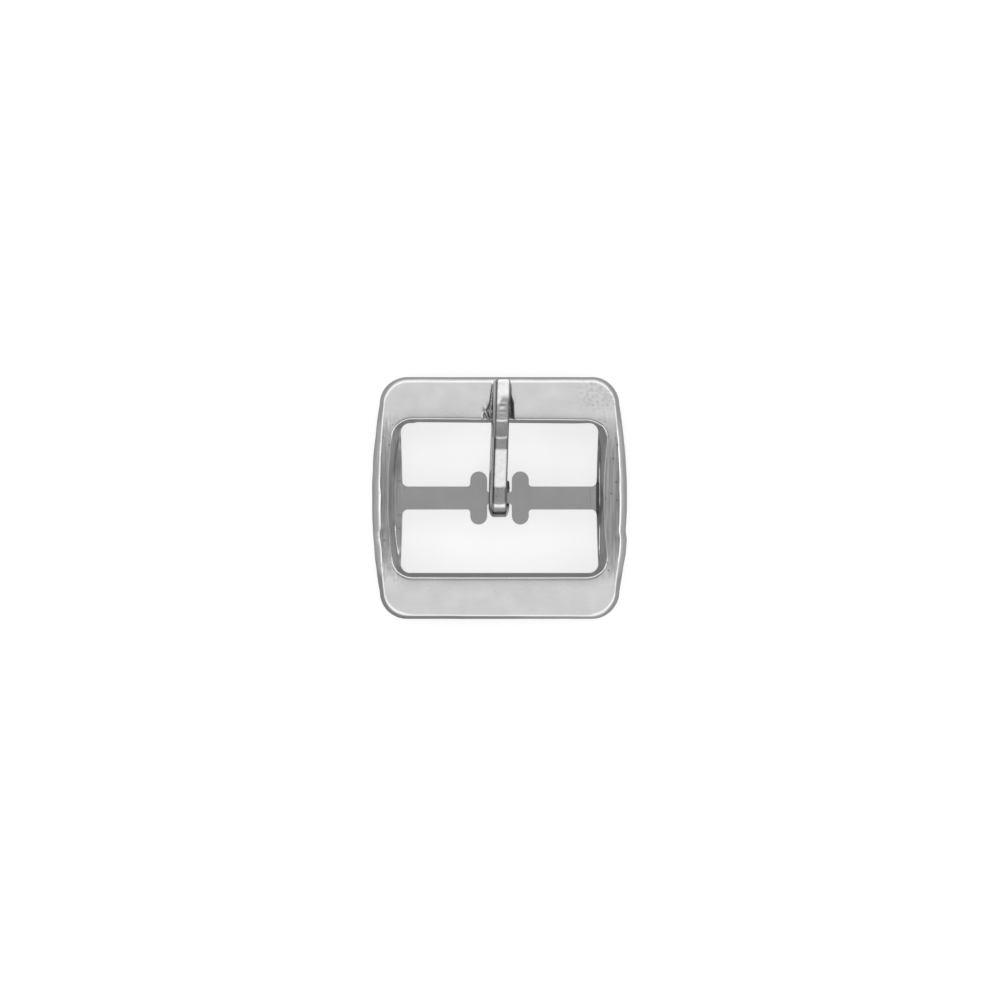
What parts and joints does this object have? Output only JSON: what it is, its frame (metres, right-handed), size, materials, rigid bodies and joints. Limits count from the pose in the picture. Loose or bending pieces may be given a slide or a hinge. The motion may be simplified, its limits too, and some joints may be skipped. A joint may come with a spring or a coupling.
{
  "type": "belt buckle",
  "caption": "Centre-bar belt buckle with a bowed, hollow-backed rectangular frame and a pivoting prong.",
  "frame": {"origin": "middle of the frame on the flat surface that the end rails' back rims rest on", "axes": "+X along the centre bar, +Y along the strap towards the rail that the prong's tip rests on, +Z out of the buckle's front"},
  "size_m": [0.0332, 0.0316, 0.0059],
  "materials": {
    "frame_steel": "pressed steel sheet, nickel plated and polished, with fine drawing marks in the side walls",
    "prong_steel": "bent steel strip, nickel plated and tumbled bright, with press marks near the tip"
  },
  "bodies": {
    "frame": {"frame": "frame_steel"},
    "prong": {"prong": "prong_steel"}
  },
  "joints": [
    {"name": "prong_pivot", "type": "hinge", "parent": "frame", "child": "prong", "pos_m": [0, 0, 0.00245], "axis": [1, 0, 0], "range_deg": [0, 157]}
  ]
}
